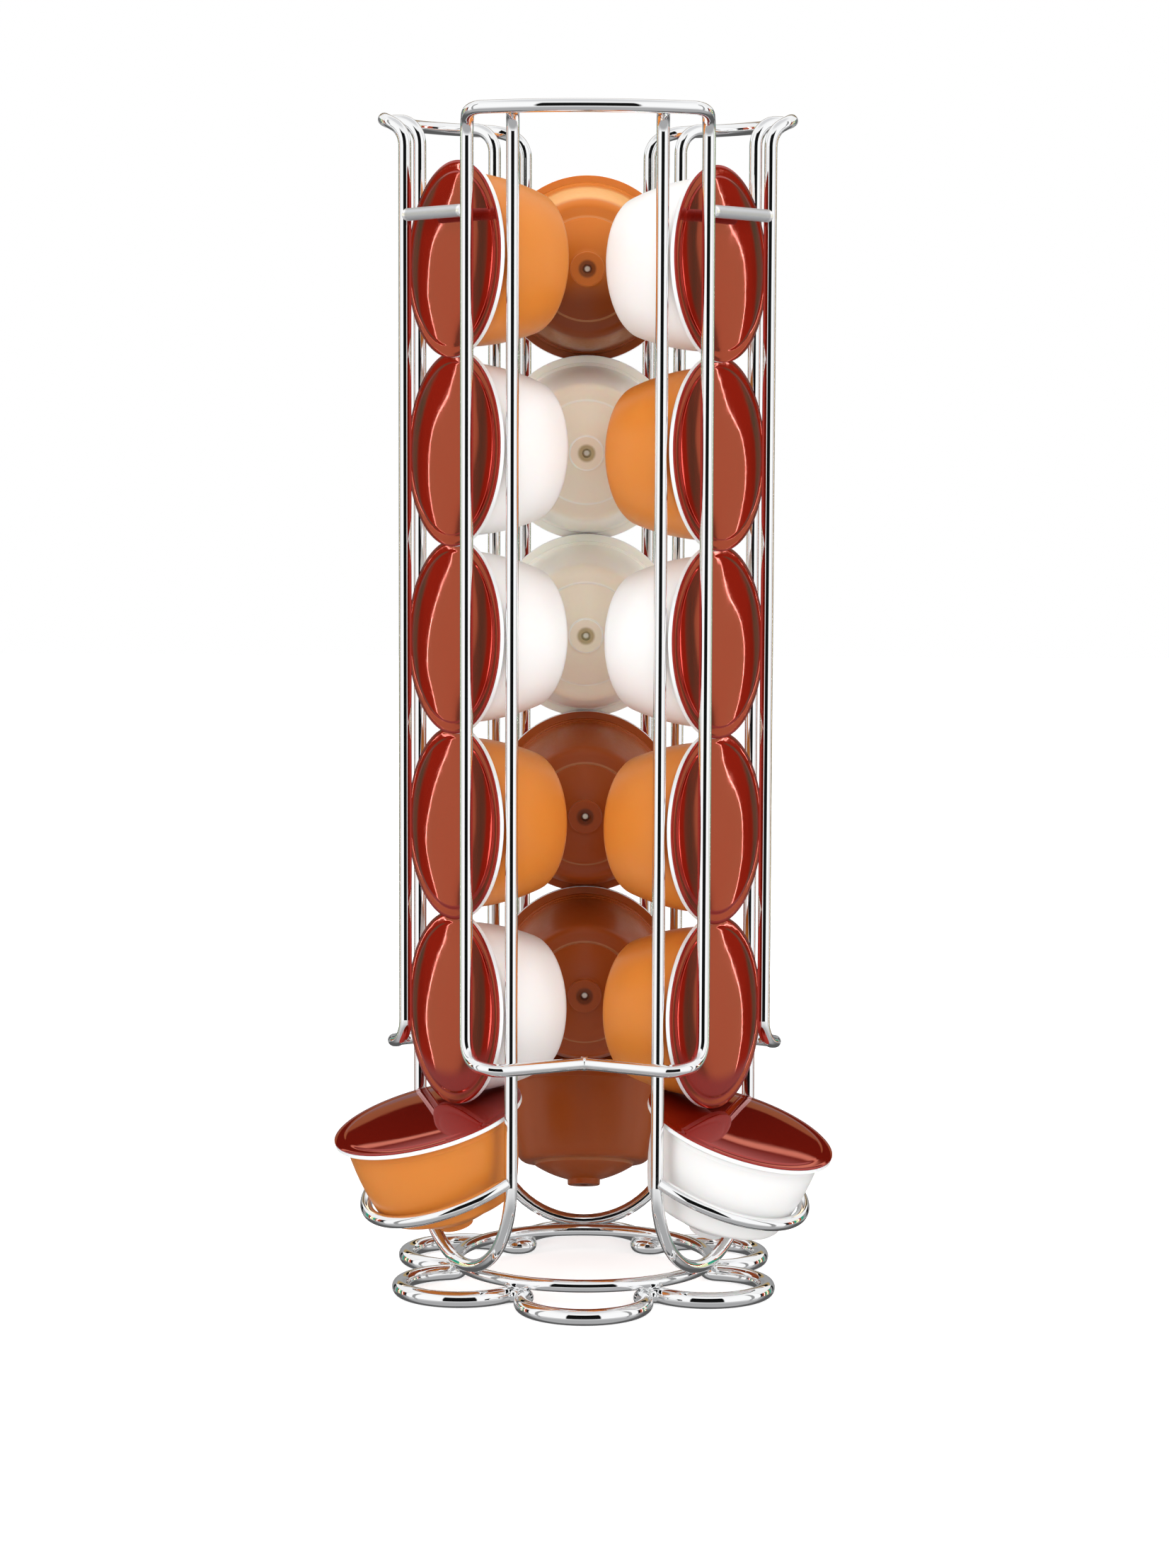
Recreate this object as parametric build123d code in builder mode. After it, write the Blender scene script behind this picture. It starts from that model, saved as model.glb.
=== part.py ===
"""A chrome wire tower that stores coffee capsules in three lanes and hands them out at its foot."""
import math
import os

from build123d import *

# Sizes are in millimetres. +Z is up, +X is to the right and +Y runs away from the viewer.
# The origin is on the tower's axis, on the surface that the foot stands on.

# Three lanes hold the capsules, and a guard loop stands between each two lanes
lane_turns = {"left": 210, "right": 330, "back": 90}
guard_turns = {"front": 270, "left": 150, "right": 30}
lane_to_guard = 60
stacked_in_lane = 5

# Wire diameters, and how far one wire sinks into another where they are welded
foot_wire_diameter = 4.6
ring_wire_diameter = 3.6
lane_wire_diameter = 3.6
guard_wire_diameter = 3.6
bar_wire_diameter = 3.5
cradle_wire_diameter = 3.5
weld_depth = 0.3

# Foot: six round lobes, joined by six tight turns that point inward
lobe_count = 6
lobe_outer_radius = 57.1
lobe_radius = 17.1
tip_radius = 3.4

# Ring that the lanes stand on
ring_radius = 36.4

# Lane hairpin: two upright legs joined by a round bottom, their tops bent outward
hairpin_radius = 38.8
hairpin_half_width = 26.9
hairpin_top_bend_radius = 6.7

# Capsule: a white flange under the foil, and a cup below it, measured down from the lid's seat
capsule_diameter = 53.8
flange_thickness = 1.2
cup_top_radius = 24.2
cup_step_depth = 3.6
cup_step_width = 0.25
cup_middle_radius = 22.7
cup_middle_depth = 13.5
cup_shoulder_radius = 18.9
cup_depth = 26.3
cup_shoulder_fillet = 1.9
recess_radius = 14.5
recess_depth = 0.9
nozzle_radius = 4.8
nozzle_base_depth = 31.3
nozzle_length = 1.7
nozzle_hole_radius = 1.3
nozzle_hole_depth = 1.5

# Foil lid, measured up from its seat
foil_edge_thickness = 0.3
foil_edge_width = 3.2
foil_crown_height = 0.8

# Clearance of the loose capsules, and how far each stacked one leans back on the one below it
lane_clearance_gap = 0.2
stack_pitch_height = 51.9
stack_lean = 1.95

# Guard loop: two upright legs in front of the lids, a round top and a shallow V at the bottom
lid_to_guard_gap = 3.2
guard_half_gap_width = 18.1
guard_top_radius = 56.8
guard_top_height = 328.7
guard_top_half_turn = 30
guard_top_drop_height = 7.7
guard_bottom_height = 68.6
guard_bottom_rise_height = 7.7
guard_point_radius = 35.3
guard_corner_width = 21.2
guard_end_gap = 0.9
guard_bead_radius = 2.1

# Cross bar over each lane, measured down from the guard loops' tops
bar_drop_height = 26.7

# Cradle loops that catch the capsules at the foot of the lanes: the left one is the shortest
cradle_height = 36.4
cradle_slope = 25.2
left_cradle_straight_length = 1.8
right_cradle_straight_length = 2.5
back_cradle_straight_length = 2.2

# Capsules in the cradles: the middle of the lid's seat, and how far each leans outward. The lowest
# stacked capsule rests its wall on the far edge of that lid, its rim just clear of the foil.
served_radius = 50.5
left_served_height = 51.4
right_served_height = 49
back_served_height = 50.1
left_served_tilt = 16.2
right_served_tilt = 19.3
back_served_tilt = 18
left_stack_bottom_height = 55
right_stack_bottom_height = 53.9
back_stack_bottom_height = 54.5

# Heights and places that follow from the sizes above
foot_height = foot_wire_diameter / 2
ring_height = foot_height + (foot_wire_diameter + ring_wire_diameter) / 2 - weld_depth
ring_to_hairpin = (ring_wire_diameter + lane_wire_diameter) / 2 - weld_depth
hairpin_height = ring_height + math.sqrt(ring_to_hairpin**2 - (hairpin_radius - ring_radius) ** 2)
lean = math.radians(stack_lean)
rim_radius = capsule_diameter / 2
lean_room = math.sqrt(rim_radius**2 - (hairpin_half_width - lane_wire_diameter / 2) ** 2) * math.tan(lean)
lid_seat_radius = (
    hairpin_radius + lane_wire_diameter / 2 + lane_clearance_gap + flange_thickness / math.cos(lean) + lean_room
)
bar_height = guard_top_height - bar_drop_height
bar_radius = lid_seat_radius + foil_crown_height + lid_to_guard_gap + bar_wire_diameter / 2
bar_half = guard_half_gap_width

# The lane's leg as the guard loop beside it sees it, and the guard's leg as its own loop sees it
turn_between = math.radians(lane_to_guard)
leg_outward = hairpin_radius * math.cos(turn_between) + hairpin_half_width * math.sin(turn_between)
leg_across = hairpin_radius * math.sin(turn_between) - hairpin_half_width * math.cos(turn_between)
guard_leg_radius = bar_radius * math.cos(turn_between) + bar_half * math.sin(turn_between)
guard_leg_across = bar_radius * math.sin(turn_between) - bar_half * math.cos(turn_between)


def upright(turn):
    """Frame on the tower's axis with X outward at this turn, Y across and Z up."""
    angle = math.radians(turn)
    return Plane(origin=(0, 0, 0), x_dir=(math.cos(angle), math.sin(angle), 0), z_dir=(0, 0, 1))


def mirror_plane(turn):
    """The upright plane through the tower's axis at this turn."""
    frame = upright(turn)
    return Plane(origin=frame.origin, x_dir=frame.x_dir, z_dir=frame.y_dir)


def bend(start, leaving, end, arriving):
    """Where the two tangent arcs of a bend in space meet, and the wire's direction there."""
    start, leaving, end, arriving = Vector(start), Vector(leaving), Vector(end), Vector(arriving)
    gap = end - start
    along = gap.dot(leaving + arriving)
    spread = 2 * (1 - leaving.dot(arriving))
    reach = (math.sqrt(along**2 + spread * gap.dot(gap)) - along) / spread
    middle = (start + end + (leaving - arriving) * reach) / 2
    turning = (end - arriving * reach) - (start + leaving * reach)
    return tuple(middle), tuple(turning)


def square_to(path):
    """The plane square to the start of a path, for the wire's round section."""
    wire = path.wire()
    return Plane(origin=wire @ 0, z_dir=wire % 0)


def save(piece, name):
    """Name a finished piece and write its file."""
    piece.part.label = name
    export_step(piece.part, f"parts/{name}.step")


os.makedirs("parts", exist_ok=True)

# Foot: one wire bent into six lobes that lie flat, each lobe running smoothly into a tight turn
lobe_centre = lobe_outer_radius - lobe_radius
half_pitch = math.pi / lobe_count
centres_apart = lobe_radius + tip_radius
tip_centre = lobe_centre * math.cos(half_pitch) + math.sqrt(
    centres_apart**2 - (lobe_centre * math.sin(half_pitch)) ** 2
)
lobe_half_turn = math.degrees(
    math.atan2(tip_centre * math.sin(half_pitch), tip_centre * math.cos(half_pitch) - lobe_centre)
)
tip_half_turn = lobe_half_turn - math.degrees(half_pitch)
with BuildPart() as foot:
    with BuildLine(Plane.XY.offset(foot_height)) as foot_path:
        for lobe in range(lobe_count):
            facing = guard_turns["front"] + math.degrees(half_pitch) * 2 * lobe
            towards_lobe = math.radians(facing)
            towards_tip = towards_lobe + half_pitch
            CenterArc(
                (lobe_centre * math.cos(towards_lobe), lobe_centre * math.sin(towards_lobe)),
                lobe_radius,
                facing - lobe_half_turn,
                lobe_half_turn * 2,
            )
            CenterArc(
                (tip_centre * math.cos(towards_tip), tip_centre * math.sin(towards_tip)),
                tip_radius,
                facing + lobe_half_turn - 180,
                -tip_half_turn * 2,
            )
    with BuildSketch(square_to(foot_path)):
        Circle(foot_wire_diameter / 2)
    sweep(path=foot_path.wire())
save(foot, "foot_wire")

# Base ring: a plain hoop welded on the six inward turns of the foot
with BuildPart() as ring:
    with BuildSketch(Plane.XZ):
        with Locations((ring_radius, ring_height)):
            Circle(ring_wire_diameter / 2)
    revolve(axis=Axis.Z)
save(ring, "base_ring")

# Guard loops: one wire each, its ends joined by a bead of weld in the middle of the V. The bottom
# runs straight past the outside of the two lane legs that it is welded to.
top_turn = math.radians(guard_top_half_turn)
leg_distance = math.hypot(leg_outward - guard_point_radius, leg_across)
weld_distance = (guard_wire_diameter + lane_wire_diameter) / 2 - weld_depth
v_angle = math.atan2(leg_outward - guard_point_radius, leg_across) + math.asin(
    weld_distance / leg_distance
)
up = (0, 0, 1)
down = (0, 0, -1)
along_top = (-math.sin(top_turn), math.cos(top_turn), 0)
into_v = (-math.sin(v_angle), -math.cos(v_angle), 0)
top_end = (guard_top_radius * math.cos(top_turn), guard_top_radius * math.sin(top_turn), guard_top_height)
leg_top = (guard_leg_radius, guard_leg_across, guard_top_height - guard_top_drop_height)
leg_bottom = (guard_leg_radius, guard_leg_across, guard_bottom_height + guard_bottom_rise_height)
v_corner = (
    guard_point_radius + guard_corner_width * math.tan(v_angle),
    guard_corner_width,
    guard_bottom_height,
)
v_point = (guard_point_radius, 0, guard_bottom_height)
wire_end = (
    guard_point_radius + guard_end_gap * math.sin(v_angle),
    guard_end_gap * math.cos(v_angle),
    guard_bottom_height,
)
top_joint, top_turning = bend(top_end, along_top, leg_top, down)
bottom_joint, bottom_turning = bend(leg_bottom, down, v_corner, into_v)
for side, turn in guard_turns.items():
    frame = upright(turn)
    with BuildPart() as guard:
        with BuildLine(frame) as guard_path:
            CenterArc((0, 0, guard_top_height), guard_top_radius, 0, guard_top_half_turn)
            TangentArc(top_end, top_joint, tangent=along_top)
            TangentArc(top_joint, leg_top, tangent=top_turning)
            Line(leg_top, leg_bottom)
            TangentArc(leg_bottom, bottom_joint, tangent=down)
            TangentArc(bottom_joint, v_corner, tangent=bottom_turning)
            Line(v_corner, wire_end)
            mirror(about=mirror_plane(turn))
        with BuildSketch(square_to(guard_path)):
            Circle(guard_wire_diameter / 2)
        sweep(path=guard_path.wire())
        bead = Plane(origin=frame.from_local_coords(v_point), x_dir=frame.x_dir, z_dir=frame.z_dir)
        with Locations(bead):
            Sphere(guard_bead_radius)
    save(guard, f"guard_loop_{side}")

# Lane hairpins: the round bottom stands on the ring, and each top bends outward into a guard loop
top_gap = math.sqrt(guard_top_radius**2 - leg_across**2) - leg_outward
guard_face = (guard_wire_diameter / 2) * guard_top_radius / (top_gap + leg_outward)
stub_end = top_gap - guard_face + weld_depth
turned_out = (math.cos(turn_between), math.sin(turn_between))
leg_foot = (hairpin_radius, hairpin_half_width, hairpin_height + hairpin_half_width)
bend_foot = (hairpin_radius, hairpin_half_width, guard_top_height - hairpin_top_bend_radius)
bend_top = (
    hairpin_radius + hairpin_top_bend_radius * turned_out[0],
    hairpin_half_width + hairpin_top_bend_radius * turned_out[1],
    guard_top_height,
)
stub_tip = (
    hairpin_radius + stub_end * turned_out[0],
    hairpin_half_width + stub_end * turned_out[1],
    guard_top_height,
)
for side, turn in lane_turns.items():
    with BuildPart() as hairpin:
        with BuildLine(upright(turn)) as hairpin_path:
            TangentArc((hairpin_radius, 0, hairpin_height), leg_foot, tangent=(0, 1, 0))
            Line(leg_foot, bend_foot)
            TangentArc(bend_foot, bend_top, tangent=up)
            Line(bend_top, stub_tip)
        with BuildSketch(square_to(hairpin_path)):
            Circle(lane_wire_diameter / 2)
        sweep(path=hairpin_path.wire())
        mirror(about=mirror_plane(turn))
    save(hairpin, f"lane_hairpin_{side}")

# Cross bars: a short straight wire over each lane, between the legs of two guard loops
bar_end = bar_half - guard_wire_diameter / 2 + weld_depth
for side, turn in lane_turns.items():
    with BuildPart() as bar:
        with BuildLine(upright(turn)) as bar_path:
            Line((bar_radius, -bar_end, bar_height), (bar_radius, bar_end, bar_height))
        with BuildSketch(square_to(bar_path)):
            Circle(bar_wire_diameter / 2)
        sweep(path=bar_path.wire())
    save(bar, f"cross_bar_{side}")

# Cradles: a half round of wire that slopes down and outward from the legs of its lane
slope = math.radians(cradle_slope)
cradle_start = hairpin_radius + lane_wire_diameter / 2 - weld_depth
cradle_straights = {
    "left": left_cradle_straight_length,
    "right": right_cradle_straight_length,
    "back": back_cradle_straight_length,
}
for side, turn in lane_turns.items():
    frame = upright(turn)
    straight = cradle_straights[side]
    down_slope = frame.x_dir * math.cos(slope) - frame.z_dir * math.sin(slope)
    sloping = Plane(
        origin=frame.from_local_coords((cradle_start, 0, cradle_height)),
        x_dir=down_slope,
        z_dir=down_slope.cross(frame.y_dir),
    )
    with BuildPart() as cradle:
        with BuildLine(sloping) as cradle_path:
            Line((0, hairpin_half_width), (straight, hairpin_half_width))
            CenterArc((straight, 0), hairpin_half_width, 90, -180)
            Line((straight, -hairpin_half_width), (0, -hairpin_half_width))
        with BuildSketch(square_to(cradle_path)):
            Circle(cradle_wire_diameter / 2)
        sweep(path=cradle_path.wire())
    save(cradle, f"cradle_{side}")


# The foil's crown is part of a large ball, and the cup's end is dished
crown_reach = rim_radius - foil_edge_width
crown_rise = foil_crown_height - foil_edge_thickness
crown_radius = (crown_reach**2 + crown_rise**2) / (crown_rise * 2)
crown_turn = math.degrees(math.asin(crown_reach / crown_radius))
dish_share = 0.62
recess_floor = cup_depth + recess_depth
dish_middle = (
    (recess_radius + nozzle_radius) / 2,
    -recess_floor - (nozzle_base_depth - recess_floor) * dish_share,
)
nozzle_end = nozzle_base_depth + nozzle_length


def profile_on(seat):
    """The plane for half a capsule's outline: X out from its middle, Y out of the lid."""
    return Plane(origin=seat.origin, x_dir=seat.x_dir, z_dir=-seat.y_dir)


def make_cup(seat):
    """Coffee cup: a flange, a stepped wall that narrows in a gentle curve, a dished end and a nozzle."""
    with BuildPart() as cup:
        with BuildSketch(profile_on(seat)):
            with BuildLine():
                Polyline(
                    (0, 0),
                    (rim_radius, 0),
                    (rim_radius, -flange_thickness),
                    (cup_top_radius, -flange_thickness),
                    (cup_top_radius, -cup_step_depth),
                    (cup_top_radius - cup_step_width, -cup_step_depth),
                )
                ThreePointArc(
                    (cup_top_radius - cup_step_width, -cup_step_depth),
                    (cup_middle_radius, -cup_middle_depth),
                    (cup_shoulder_radius, -cup_depth),
                )
                Polyline(
                    (cup_shoulder_radius, -cup_depth),
                    (recess_radius, -cup_depth),
                    (recess_radius, -recess_floor),
                )
                ThreePointArc(
                    (recess_radius, -recess_floor), dish_middle, (nozzle_radius, -nozzle_base_depth)
                )
                Polyline(
                    (nozzle_radius, -nozzle_base_depth),
                    (nozzle_radius, -nozzle_end),
                    (nozzle_hole_radius, -nozzle_end),
                    (nozzle_hole_radius, -nozzle_end + nozzle_hole_depth),
                    (0, -nozzle_end + nozzle_hole_depth),
                    (0, 0),
                )
            make_face()
        revolve(axis=Axis(seat.origin, seat.z_dir))
        shoulder = cup.edges().filter_by(GeomType.CIRCLE).sort_by(
            lambda edge: abs(edge.radius - cup_shoulder_radius)
        )[0]
        fillet(shoulder, cup_shoulder_fillet)
    return cup


def make_lid(seat):
    """Foil lid: a flat sealed edge round a very shallow crown."""
    with BuildPart() as lid:
        with BuildSketch(profile_on(seat)):
            with BuildLine():
                Polyline(
                    (0, 0),
                    (rim_radius, 0),
                    (rim_radius, foil_edge_thickness),
                    (crown_reach, foil_edge_thickness),
                )
                CenterArc(
                    (0, foil_crown_height - crown_radius), crown_radius, 90 - crown_turn, crown_turn
                )
                Line((0, foil_crown_height), (0, 0))
            make_face()
        revolve(axis=Axis(seat.origin, seat.z_dir))
    return lid


# Capsules: number 1 lies in the cradle with its lid up, and the others stand on edge, lids outward.
# Each rim above the lowest stands on the edge of the one below, just behind its own flange, so the
# stack leans back a little and its rims overlap.
served_in_lane = {
    "left": (left_served_height, left_served_tilt, left_stack_bottom_height),
    "right": (right_served_height, right_served_tilt, right_stack_bottom_height),
    "back": (back_served_height, back_served_tilt, back_stack_bottom_height),
}
for side, turn in lane_turns.items():
    frame = upright(turn)
    served_height, served_tilt, stack_bottom_height = served_in_lane[side]
    tilt = math.radians(served_tilt)
    seats = [
        Plane(
            origin=frame.from_local_coords((served_radius, 0, served_height)),
            x_dir=frame.y_dir,
            z_dir=frame.x_dir * math.sin(tilt) + frame.z_dir * math.cos(tilt),
        )
    ]
    for level in range(stacked_in_lane):
        height = stack_bottom_height + rim_radius + stack_pitch_height * level
        seats.append(
            Plane(
                origin=frame.from_local_coords((lid_seat_radius, 0, height)),
                x_dir=frame.y_dir,
                z_dir=frame.x_dir * math.cos(lean) + frame.z_dir * math.sin(lean),
            )
        )
    for number, seat in enumerate(seats, start=1):
        save(make_cup(seat), f"cup_{side}_{number}")
        save(make_lid(seat), f"lid_{side}_{number}")
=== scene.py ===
"""A chrome wire tower that holds three lanes of coffee capsules and hands them out at its foot."""
import math

import bpy
from mathutils import Matrix, Vector


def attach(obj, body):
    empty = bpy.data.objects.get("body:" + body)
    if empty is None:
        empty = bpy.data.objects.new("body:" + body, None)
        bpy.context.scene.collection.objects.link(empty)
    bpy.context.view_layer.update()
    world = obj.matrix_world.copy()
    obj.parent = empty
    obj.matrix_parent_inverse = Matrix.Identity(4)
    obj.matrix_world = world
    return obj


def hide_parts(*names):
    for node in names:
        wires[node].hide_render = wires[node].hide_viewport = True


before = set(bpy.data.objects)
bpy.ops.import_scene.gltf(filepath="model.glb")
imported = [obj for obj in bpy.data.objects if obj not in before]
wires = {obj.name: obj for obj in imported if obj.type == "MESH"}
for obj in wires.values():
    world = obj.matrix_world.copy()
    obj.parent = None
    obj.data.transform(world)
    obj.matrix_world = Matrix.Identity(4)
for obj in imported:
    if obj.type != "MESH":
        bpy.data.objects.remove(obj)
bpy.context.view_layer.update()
bpy.ops.object.select_all(action="DESELECT")


# Foot: one thick round steel wire, bent cold into six lobes that lie flat on the table and welded
# shut, then chrome plated together with the rest of the tower.
class Socket:
    """A socket of a node tree. Sums and products of sockets add the Math nodes that they need."""

    def __init__(self, tree, link=None):
        self.tree, self.link = tree, link

    def node(self, kind, settings=(), inputs=(), out=0):
        """A new node with its settings, the values or links of its sockets, and one way out."""
        made = self.tree.nodes.new(kind)
        for name, value in dict(settings).items():
            if name == "stops":
                ramp = made.color_ramp.elements
                while len(ramp) < len(value):
                    ramp.new(0.5)
                for stop, (place, colour) in zip(ramp, value):
                    stop.position, stop.color = place, (*colour, 1)
            else:
                setattr(made, name, value)
        for name, value in dict(inputs).items():
            if isinstance(value, Socket):
                self.tree.links.new(value.link, made.inputs[name])
            else:
                made.inputs[name].default_value = value
        return Socket(self.tree, made.outputs[out])

    def maths(self, operation, *values):
        return self.node("ShaderNodeMath", {"operation": operation}, enumerate(values))

    def mix(self, first, second):
        """This socket's share of second over first, both colours."""
        return self.node("ShaderNodeMix", {"data_type": "RGBA"}, {0: self, 6: first, 7: second}, 2)

    def noise(self, scale, detail):
        """A cloudy pattern at this place, with so many clouds to the metre."""
        return self.node(
            "ShaderNodeTexNoise", {}, {"Vector": self, "Scale": scale, "Detail": detail}
        )

    def __add__(self, other):
        return self.maths("ADD", self, other)

    def __sub__(self, other):
        return self.maths("SUBTRACT", self, other)

    def __rsub__(self, other):
        return self.maths("SUBTRACT", other, self)

    def __mul__(self, other):
        return self.maths("MULTIPLY", self, other)

    def __pow__(self, other):
        return self.maths("POWER", self, other)

    __radd__, __rmul__ = __add__, __mul__

    def step(self, low, high):
        """0 below low, 1 above high, and smooth between them."""
        return self.node(
            "ShaderNodeMapRange",
            {"interpolation_type": "SMOOTHSTEP"},
            {"Value": self, "From Min": low, "From Max": high},
        )

    def band(self, low, full, fading, high):
        """1 from full to fading, 0 below low and above high, and smooth between them."""
        return self.step(low, full) * (1 - self.step(fading, high))


def new_finish(name, **sockets):
    """A material with a Principled shader, its fixed values, and the place on the piece."""
    finish = bpy.data.materials.new(name)
    finish.use_nodes = True
    shader = finish.node_tree.nodes["Principled BSDF"]
    for socket, value in sockets.items():
        shader.inputs[socket.replace("_", " ")].default_value = value
    place = Socket(finish.node_tree).node("ShaderNodeTexCoord", out="Object")
    return finish, shader, place


def feed(shader, socket, value):
    """Lead a value into one of the shader's sockets."""
    value.tree.links.new(value.link, shader.inputs[socket])


def feed_bump(shader, height, strength, distance):
    """Lead a height into the shader as a bump, with its depth in metres."""
    bump = {"Strength": strength, "Distance": distance, "Height": height}
    feed(shader, "Normal", height.node("ShaderNodeBump", {}, bump))


def give_finish(piece, finish):
    """Give a piece this finish alone."""
    piece.data.materials.clear()
    piece.data.materials.append(finish)


chrome, chrome_shader, place = new_finish(
    "chrome_plate", Base_Color=(0.95, 0.955, 0.96, 1), Metallic=1.0, Roughness=0.03
)
haze = place.noise(scale=180.0, detail=4.0)
feed(chrome_shader, "Roughness", haze.step(0.35, 0.75) * 0.03 + 0.015)
feed_bump(chrome_shader, haze, strength=0.05, distance=0.0002)
give_finish(wires["foot_wire"], chrome)

# Base ring: a hoop of thinner steel wire with the same plating, butt welded, that sits on the six
# inward turns of the foot and is welded to each of them.
give_finish(wires["base_ring"], chrome)

# Lane hairpins: three upright hairpins of wire that guide the rims of the stacked capsules. Their
# round ends are welded to the ring and their tops are bent outward under the guard loops.
lane_turns = {"left": 210, "right": 330, "back": 90}
for side in lane_turns:
    give_finish(wires[f"lane_hairpin_{side}"], chrome)

# Guard loops: closed loops of plated wire that stand in front of the lids' edges, between the
# lanes, welded across the hairpins' legs. The foil would mirror their legs too strongly, so they
# are kept out of mirrored rays.
for side in ("front", "left", "right"):
    guard_loop = wires[f"guard_loop_{side}"]
    give_finish(guard_loop, chrome)
    guard_loop.visible_glossy = False

# Cradles: half rounds of plated wire, sloping down and outward, whose ends are welded to the legs
# of each lane. They catch the lowest capsule by its wall.
for side in lane_turns:
    give_finish(wires[f"cradle_{side}"], chrome)

# Cross bars: short straight wires over the lanes, welded between the legs of two guard loops. Their
# plating is duller than the rest, but for a bright collar at each weld.
MM = 0.001  # A millimetre in metres; the sizes of the pieces are in millimetres
bare_half_length = 14.6
collar_start = 15.4
dull_plate, collar_plate = (0.56, 0.57, 0.59, 1), (0.93, 0.93, 0.94, 1)
satin, satin_shader, place = new_finish(
    "satin_plate", Base_Color=dull_plate, Metallic=0.5, Roughness=0.3
)
haze = place.noise(scale=260.0, detail=5.0)
along = place.node("ShaderNodeAttribute", {"attribute_name": "along"}, out="Fac")
collar = along.maths("ABSOLUTE", along).step(bare_half_length, collar_start)
feed(satin_shader, "Roughness", haze.step(0.3, 0.8) * 0.1 + 0.28 - collar * 0.16)
feed(satin_shader, "Base Color", collar.mix(dull_plate, collar_plate))
for side, turn in lane_turns.items():
    bar = wires[f"cross_bar_{side}"]
    kept = bar.data.attributes.new("along", "FLOAT", "POINT")
    across = Vector((-math.sin(math.radians(turn)), math.cos(math.radians(turn)), 0))
    for point, corner in zip(kept.data, bar.data.vertices):
        point.value = corner.co.dot(across) / MM
    give_finish(bar, satin)


# Capsule cups: injection moulded in one piece, with a flange for the foil, a sealing ring close
# below it, a wall that tapers in a gentle curve, and a dished end with the nozzle in its middle.
# The outer face of the flange carries the white sealing layer of the foil.
stack_feet = {"left": 81.9, "right": 80.8, "back": 81.4}
stack_pitch = 51.9
stack_lean = 1.95  # degrees
lid_seat_radius = 42.33
# For each cradle how far out and how high its capsule's lid seat lies, and how far it tilts
served = {"left": (50.5, 51.4, 16.2), "right": (50.5, 49.0, 19.3), "back": (50.5, 50.1, 18)}
cup_colours = {
    "left": ("orange", "white", "orange", "white", "white", "orange"),
    "right": ("white", "orange", "orange", "white", "orange", "white"),
    "back": ("amber", "amber", "amber", "clear", "clear", "orange"),
}
# The radius and height of each ring, from the hole in the nozzle to the middle of the lid seat
cup_rings = [
    (0.3, -31.5), (0.7, -31.5), (1.2, -31.5), (1.3, -32.9), (1.45, -33.0), (2.6, -33.0),
    (2.9, -33.0), (4.6, -33.0), (4.8, -32.8), (4.85, -31.4),
    (5.0, -31.25), (6.0, -31.0), (7.5, -30.54), (9.0, -30.0), (10.5, -29.37), (12.0, -28.65),
    (13.5, -27.82), (14.3, -27.35), (14.5, -27.15), (14.55, -26.4), (14.7, -26.3), (17.0, -26.3),
    (18.0, -26.1), (18.8, -25.6), (19.4, -24.9), (19.71, -24.2), (20.47, -22.0), (21.1, -20.0),
    (21.66, -18.0), (22.39, -15.0), (22.98, -12.0), (23.44, -9.0), (23.78, -6.0), (23.95, -3.7),
    (24.0, -3.6), (24.2, -3.5), (24.2, -2.4), (24.35, -2.2), (24.6, -2.1), (24.7, -1.9),
    (24.7, -1.5), (24.8, -1.25), (25.0, -1.2), (26.7, -1.2), (26.8, -1.17), (26.9, -1.05),
    (26.9, -0.1), (26.8, 0.0), (20.0, 0.0), (1.0, 0.0),
]
cup_facets = 96
smooth_under = math.radians(35)


def turned(name, rings, facets):
    """A turned piece: a disc that is extruded from ring to ring, each a radius and a height."""
    radius, height = rings[0]
    bpy.ops.object.select_all(action="DESELECT")
    bpy.ops.mesh.primitive_circle_add(
        vertices=facets, radius=radius * MM, fill_type="NGON", location=(0, 0, height * MM)
    )
    piece = bpy.context.object
    piece.name = name
    bpy.ops.object.transform_apply(location=True)
    bpy.ops.object.mode_set(mode="EDIT")
    bpy.ops.mesh.select_all(action="SELECT")
    for wider, higher in rings[1:]:
        bpy.ops.mesh.extrude_region_move(
            TRANSFORM_OT_translate={"value": (0, 0, (higher - height) * MM)}
        )
        grow = wider / radius
        bpy.ops.transform.resize(value=(grow, grow, 1), center_override=(0, 0, higher * MM))
        radius, height = wider, higher
    bpy.ops.mesh.edge_face_add()
    bpy.ops.mesh.select_all(action="SELECT")
    bpy.ops.mesh.normals_make_consistent(inside=False)
    bpy.ops.object.mode_set(mode="OBJECT")
    bpy.ops.object.shade_smooth_by_angle(angle=smooth_under)
    for label, axis in (("across", 0), ("level", 1)):
        kept = piece.data.attributes.new(label, "FLOAT", "POINT")
        for point, corner in zip(kept.data, piece.data.vertices):
            point.value = corner.co[axis] / MM
    return piece


def seat_of(side, number):
    """Where a capsule's lid seat lies: its middle, with Z out of the lid."""
    turn = math.radians(lane_turns[side])
    outward = Vector((math.cos(turn), math.sin(turn), 0))
    if number == 1:
        radius, height, tilt = served[side]
        leans = math.radians(90 - tilt)
    else:
        radius, height = lid_seat_radius, stack_feet[side] + stack_pitch * (number - 2)
        leans = math.radians(stack_lean)
    lid_way = outward * math.cos(leans) + Vector((0, 0, math.sin(leans)))
    across = Vector((-math.sin(turn), math.cos(turn), 0))
    rows = Matrix((across, lid_way.cross(across), lid_way)).transposed().to_4x4()
    return Matrix.Translation((outward * radius + Vector((0, 0, height))) * MM) @ rows


def places_on(place):
    """How far across and up from a turned piece's middle a point lies, and how far in all."""
    across = place.node("ShaderNodeAttribute", {"attribute_name": "across"}, out="Fac")
    level = place.node("ShaderNodeAttribute", {"attribute_name": "level"}, out="Fac")
    return across, level, (across * across + level * level) ** 0.5


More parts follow.
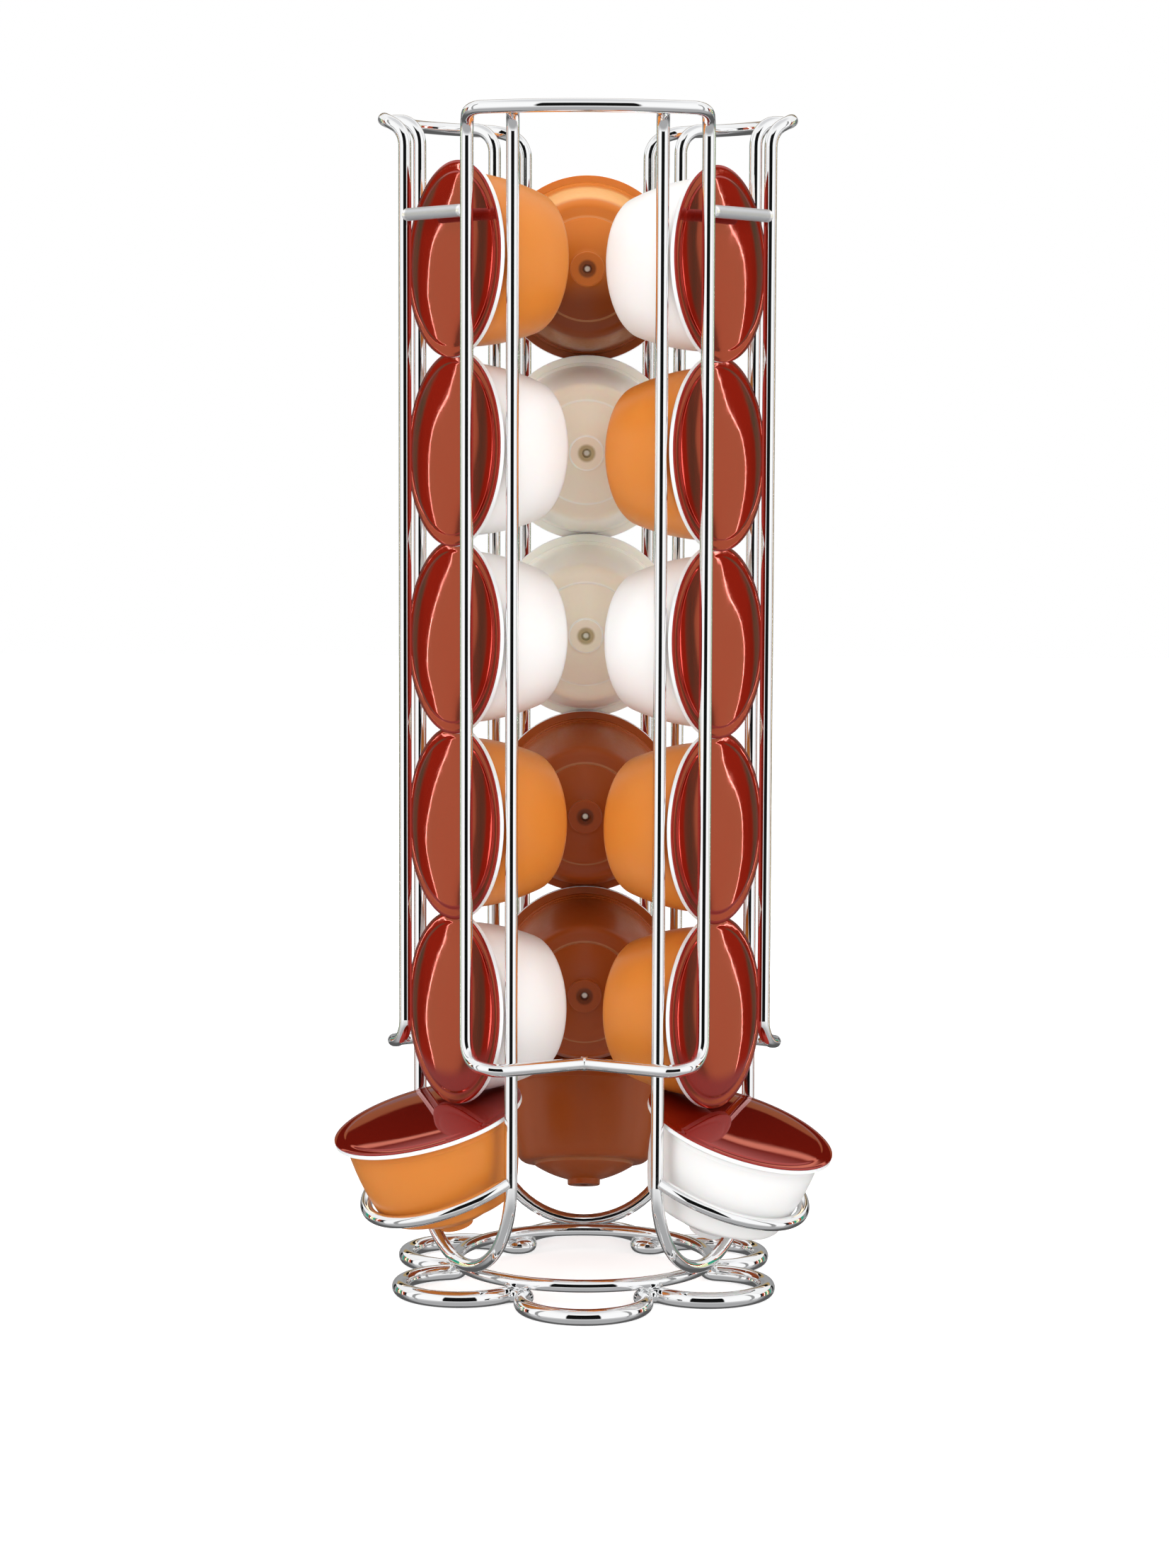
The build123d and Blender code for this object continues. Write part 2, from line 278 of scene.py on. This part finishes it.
def dress(piece, finish, node, side, number):
    """Put a piece at its capsule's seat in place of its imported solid."""
    piece.data.transform(seat_of(side, number))
    give_finish(piece, finish)
    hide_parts(node)
    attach(piece, f"{side}_capsule_{number}")


# The rings where a cup's colour changes, most of them painted light, by their distance from its
# middle in millimetres
hole_edge, hole_disc_edge, nozzle_edge = (0.5, 1.0), (2.0, 2.9), (4.9, 5.3)
nozzle_ridge, dish_ridge = (4.5, 4.7, 4.9, 5.2), (14.35, 14.6, 14.9, 15.2)
side_wall, light_through_edge, flange_edge = (19.4, 20.6, 22.8, 23.6), (18.6, 20.6), (26.72, 26.78)
# Where the painted shade on a cup's lower half begins, and how far its edge wavers
painted_shade_edge, painted_shade_waver = (-8, 5), 4
# A painted highlight on the bottom of the hole, and the flange's white sealing layer
hole_highlight, flange_colour = (1.0, 0.95, 0.84, 1), (0.9, 0.9, 0.9, 1)
# Painted light on the top back cup's side wall, and painted light through the clear cups' outer
# wall
painted_wall_light, painted_light_through = (0.95, 0.5, 0.17, 1), (0.97, 0.95, 0.9, 1)
# Painted highlights on the ridges: near white on the clear cups, half lit_edge on the others
clear_ridge_highlight, clear_hole_disc = (1.0, 0.97, 0.89, 1), (0.36, 0.28, 0.09, 1)
lit_edge, dark_hole_disc = (0.93, 0.66, 0.36), (0.10, 0.025, 0.008, 1)
# For each colour the paint, the darker paint on its lower half, which is painted shade, and how
# much light goes into it
cup_paint = {
    "orange": ((0.66, 0.22, 0.034), (0.66, 0.22, 0.034), 0.25),
    "white": ((0.87, 0.865, 0.855), (0.87, 0.865, 0.855), 0.15),
    "clear": ((0.94, 0.85, 0.70), (0.89, 0.80, 0.66), 0.35),
    "amber": ((0.36, 0.075, 0.012), (0.34, 0.066, 0.010), 0.2),
    "orange_painted_light_and_shade": ((0.60, 0.175, 0.022), (0.23, 0.05, 0.009), 0.2),
}
cup_finishes = {}
for colour, (paint, painted_shade, glow) in cup_paint.items():
    finish, shader, place = new_finish(
        f"moulded_{colour}",
        Base_Color=(*paint, 1),
        Roughness=0.32,
        Specular_IOR_Level=0.3,
        Subsurface_Weight=glow,
        Subsurface_Scale=0.002,
    )
    across, level, reach = places_on(place)
    grain = place.noise(scale=900.0, detail=3.0)
    cloud = place.noise(scale=60.0, detail=2.0)
    # The lower half of a cup takes the painted shade, along a wavy edge
    upper = (level + cloud * painted_shade_waver).step(*painted_shade_edge)
    painted = upper.mix((*painted_shade, 1), (*paint, 1))
    # The top back cup: painted light on its side wall, strongest on its upper half
    if colour == "orange_painted_light_and_shade":
        painted = (reach.band(*side_wall) * (upper * 0.55 + 0.15)).mix(painted, painted_wall_light)
    # The clear cups' outer wall is paler: painted light coming through the thin plastic
    if colour == "clear":
        painted = (reach.step(*light_through_edge) * 0.6).mix(painted, painted_light_through)
    if colour != "white":
        # Painted highlights along the dish's ridge, and along the nozzle's ridge on the clear cups
        ridge_highlight = reach.band(*dish_ridge) * (0.77 if colour == "clear" else 0.35)
        ridge_highlight_colour = (*(0.5 * (own + lit) for own, lit in zip(paint, lit_edge)), 1)
        hole_disc_colour = dark_hole_disc
        if colour == "clear":
            ridge_highlight = ridge_highlight + reach.band(*nozzle_ridge)
            ridge_highlight_colour, hole_disc_colour = clear_ridge_highlight, clear_hole_disc
        # The nozzle keeps its plain paint, without the painted shade or painted light
        painted = (1 - reach.step(*nozzle_edge)).mix(painted, (*paint, 1))
        painted = ridge_highlight.mix(painted, ridge_highlight_colour)
        # A darker disc round the hole on the nozzle's face
        painted = ((1 - reach.step(*hole_disc_edge)) * 0.75).mix(painted, hole_disc_colour)
        # A painted highlight on the bottom of the hole
        painted = (1 - reach.step(*hole_edge)).mix(painted, hole_highlight)
    feed(shader, "Base Color", reach.step(*flange_edge).mix(painted, flange_colour))
    feed(shader, "Roughness", grain.step(0.3, 0.7) * 0.08 + 0.28)
    feed_bump(shader, grain, strength=0.1, distance=0.0001)
    cup_finishes[colour] = finish

cup = turned("cup", cup_rings, cup_facets)
for side, colours in cup_colours.items():
    for number, colour in enumerate(colours, start=1):
        copy = bpy.data.objects.new(f"moulded_cup_{side}_{number}", cup.data.copy())
        bpy.context.collection.objects.link(copy)
        # The topmost cup at the back is orange, with painted light on its side wall and painted
        # shade on its lower half
        orange_painted_light_and_shade = (side, number) == ("back", 6)
        finish = cup_finishes["orange_painted_light_and_shade" if orange_painted_light_and_shade else colour]
        dress(copy, finish, f"cup_{side}_{number}", side, number)
bpy.data.objects.remove(cup)

# Foil lids: red lacquered aluminium foil, sealed flat to the flange and swollen a little by the gas
# in the capsule, so that it bends up sharply beside the seal and is nearly flat in the middle.
lid_rings = [
    (1.0, 0.0), (20.0, 0.0), (26.75, 0.0), (26.9, 0.08), (26.9, 0.24), (26.8, 0.3), (25.6, 0.31),
    (24.4, 0.32), (24.1, 0.34), (23.85, 0.38), (23.6, 0.44), (23.4, 0.475),
]
dome_radius, dome_foot, dome_rise = 23.4, 0.475, 0.5
for share in (0.985, 0.96, 0.93, 0.89, 0.85, 0.8, 0.75, 0.7, 0.6, 0.5, 0.4, 0.3, 0.2, 0.1, 0.03):
    lid_rings.append((dome_radius * share, dome_foot + dome_rise * (1 - share**4)))
lid_facets = 144

foil, foil_shader, place = new_finish(
    "lacquered_foil", Base_Color=(0.36, 0.0145, 0.005, 1), Metallic=0.6, Roughness=0.03, IOR=1.6
)
across, level, reach = places_on(place)
swell = place.noise(scale=38.0, detail=1.0)
fine = place.noise(scale=420.0, detail=3.0)
crease = place.noise(scale=170.0, detail=1.0)
creased_reach, creased_level = (15, 23), (-2, 14)
rim = reach.step(*creased_reach) * level.step(*creased_level)
fine_depth, crease_depth, twist = 0.006, 0.14, 0.0052
height = swell + fine * fine_depth + crease * rim * crease_depth + across * level * twist
feed_bump(foil_shader, height, strength=1.0, distance=0.00012)
feed(foil_shader, "Roughness", fine.step(0.3, 0.7) * 0.02 + 0.02)

lid = turned("lid", lid_rings, lid_facets)
for side in lane_turns:
    for number in range(1, 7):
        copy = bpy.data.objects.new(f"foil_lid_{side}_{number}", lid.data.copy())
        bpy.context.collection.objects.link(copy)
        # The two lanes in front mirror each other's twist
        if side == "right":
            for point in copy.data.attributes["across"].data:
                point.value = -point.value
        dress(copy, foil, f"lid_{side}_{number}", side, number)
bpy.data.objects.remove(lid)

# Table: a white sweep under the tower that fades into the white behind it. It keeps the tower's
# shadow, and the plated wires and the foil don't mirror it.
bpy.ops.mesh.primitive_plane_add(size=4.0, location=(0, 0.6, 0))
table = bpy.context.object
table.name = "table"
white, white_shader, place = new_finish(
    "white_sweep", Base_Color=(0.9, 0.9, 0.9, 1), Roughness=0.9, Emission_Color=(1, 1, 1, 1)
)
camera_ray = place.node("ShaderNodeLightPath", out="Is Camera Ray")
table_glow = 0.55
feed(white_shader, "Emission Strength", camera_ray * table_glow)
give_finish(table, white)
table.visible_glossy = False

# Studio: large soft boxes and coloured cards with dark gaps between them, which the plated wires
# and the lacquered foil mirror. Seen directly the room is white, and its own light is even.
world = bpy.context.scene.world or bpy.data.worlds.new("studio")
bpy.context.scene.world = world
world.use_nodes = True
tree = world.node_tree
tree.nodes.clear()


def grey_of(value):
    return value, value, value


toward = Socket(tree).node("ShaderNodeTexCoord", out="Generated")
side_way, away, rise = (
    toward.node("ShaderNodeSeparateXYZ", {}, {0: toward}, out) for out in ("X", "Y", "Z")
)
fall = 0 - rise
# Degrees round the tower: 0 towards the viewer, 180 straight behind it
side_way = toward.maths("ABSOLUTE", side_way)
round_way = toward.maths("ARCTAN2", side_way, 0 - away) * (180 / math.pi)
white_wall, black, grey = grey_of(1.0), grey_of(0.01), grey_of(0.3)
beige, red, olive = (0.82, 0.87, 0.47), (0.42, 0.08, 0.04), (0.03, 0.34, 0.22)
walls = (
    (0, white_wall), (78, white_wall), (80, grey), (85, grey), (87, white_wall),
    (100, white_wall), (101.5, black), (106, black), (107, red), (115.0, red),
    (115.4, olive), (119.2, olive), (119.6, beige), (123.9, beige), (124.2, red), (128.4, red),
    (129, olive), (134, olive), (135.5, grey), (142, grey), (144, black), (149, black),
    (152, grey), (180, grey),
)
part_turn = round_way * (1 / 180)
wall_stops = [(at / 180, colour) for at, colour in walls]
around = part_turn.node("ShaderNodeValToRGB", {"stops": wall_stops}, {0: part_turn})

# The coloured cards end above and below, and a backdrop of its own hangs behind the tower. Edges
# round the tower are in degrees, and those above and below it are sines of the angle of rise.
cards_start, cards_top, cards_foot = (100, 102), (0.2, 0.24), (0.17, 0.2)
backdrop_start, backdrop_foot = (149, 152), (0.12, 0.2)
beyond = round_way.step(*cards_start)
around = (rise.step(*cards_top) * beyond).mix(around, (*grey_of(0.92), 1))
around = (fall.step(*cards_foot) * beyond).mix(around, (*grey_of(0.42), 1))
warm_card, warm_strip = (0.42, 0.3, 0.14), (1.4, 1.1, 0.8)
backdrop_stops = [
    (0.0, grey_of(0.34)), (0.27, grey_of(0.34)), (0.3, warm_card), (0.362, warm_card),
    (0.375, black), (0.455, black), (0.468, warm_strip), (0.482, warm_strip),
    (0.495, (0.1, 0.08, 0.07)), (0.6, grey_of(0.9)),
]
backdrop = rise.node("ShaderNodeValToRGB", {"stops": backdrop_stops}, {0: rise})
around = (round_way.step(*backdrop_start) * rise.step(*backdrop_foot)).mix(around, backdrop)

# The ceiling with its duller middle, the ground, and the dark floor beside and behind the tower
ceiling_edge, ceiling_middle, ground_edge = (0.55, 0.75), (0.8, 0.96), (0.12, 0.6)
dark_floor_edge, dark_floor_start = (0.2, 0.35), (100, 130)
around = rise.step(*ceiling_edge).mix(around, (0.95, 0.95, 0.95, 1))
around = rise.step(*ceiling_middle).mix(around, (0.7, 0.7, 0.71, 1))
around = fall.step(*ground_edge).mix(around, (0.4, 0.4, 0.405, 1))
dark_floor = fall.step(*dark_floor_edge) * round_way.step(*dark_floor_start)
around = dark_floor.mix(around, (0.1, 0.1, 0.1, 1))

# A black card round the lens, and two thin bright gaps between the soft boxes
card_side, card_height = (27, 30), (-0.26, -0.2, 0.6, 0.66)
far_gap, near_gap = (123.9, 123.95, 124.0, 124.05), (111.5, 111.6, 112.4, 112.5)
gaps_top, gaps_foot, near_gap_share = (0.2, 0.22), (0.17, 0.19), 0.4
card = (1 - round_way.step(*card_side)) * rise.band(*card_height)
studio = card.mix(around, (0.006, 0.006, 0.006, 1))
gaps = round_way.band(*far_gap) + round_way.band(*near_gap) * near_gap_share
gaps = gaps * (1 - rise.step(*gaps_top)) * (1 - fall.step(*gaps_foot))
studio = gaps.mix(studio, (1, 0.95, 0.9, 1))

mirrored = toward.node("ShaderNodeLightPath", out="Is Glossy Ray")
through = toward.node("ShaderNodeLightPath", out="Is Transmission Ray")
camera_ray = toward.node("ShaderNodeLightPath", out="Is Camera Ray")
room_light, gap_power = (0.58, 0.58, 0.58, 1), 15
lit = (camera_ray + through).mix(room_light, (1, 1, 1, 1))
background = mirrored.node(
    "ShaderNodeBackground",
    {},
    {"Color": mirrored.mix(lit, studio), "Strength": 1 + mirrored * gaps * gap_power},
)
out = tree.nodes.new("ShaderNodeOutputWorld")
tree.links.new(background.link, out.inputs["Surface"])


# Lamps: four large soft boxes, two beside the camera, one over it and one over the tower. They
# light the cups and the satin bars, and the wires and the foil mirror the studio alone.
tower_middle = Vector((0, 0, 0.17))


def soft_box(name, place, size, watts):
    """A large soft light that points at the middle of the tower."""
    bpy.ops.object.light_add(type="AREA", location=place)
    lamp = bpy.context.object
    lamp.name = name
    lamp.data.shape = "RECTANGLE"
    lamp.data.size, lamp.data.size_y = size
    lamp.data.energy = watts
    aim = tower_middle - Vector(place)
    lamp.rotation_euler = aim.to_track_quat("-Z", "Y").to_euler()
    lamp.visible_glossy = False


soft_box("key_left", (-0.9, -0.8, 0.7), (0.7, 0.9), watts=5.7)
soft_box("key_right", (0.9, -0.8, 0.6), (0.7, 0.9), watts=5.2)
soft_box("front_light", (0, -1.3, 0.55), (0.8, 0.5), watts=3.6)
soft_box("top_light", (0, 0.1, 1.3), (0.9, 0.9), watts=6)

# Camera: a long lens about a metre in front of the tower and above its middle, which looks down
# by a few degrees. It stands a touch off the upright, as the photograph was taken.
look_down, off_upright = math.radians(5.83), math.radians(0.22)
bpy.ops.object.camera_add(
    location=(-0.00068, -1.08763, 0.25371),
    rotation=(math.radians(90) - look_down, -off_upright, 0),
)
camera = bpy.context.object
camera.data.sensor_width = 36
camera.data.lens = 88.48
camera.data.clip_start = 0.05
bpy.context.scene.camera = camera
bpy.context.scene.view_settings.view_transform = "Standard"
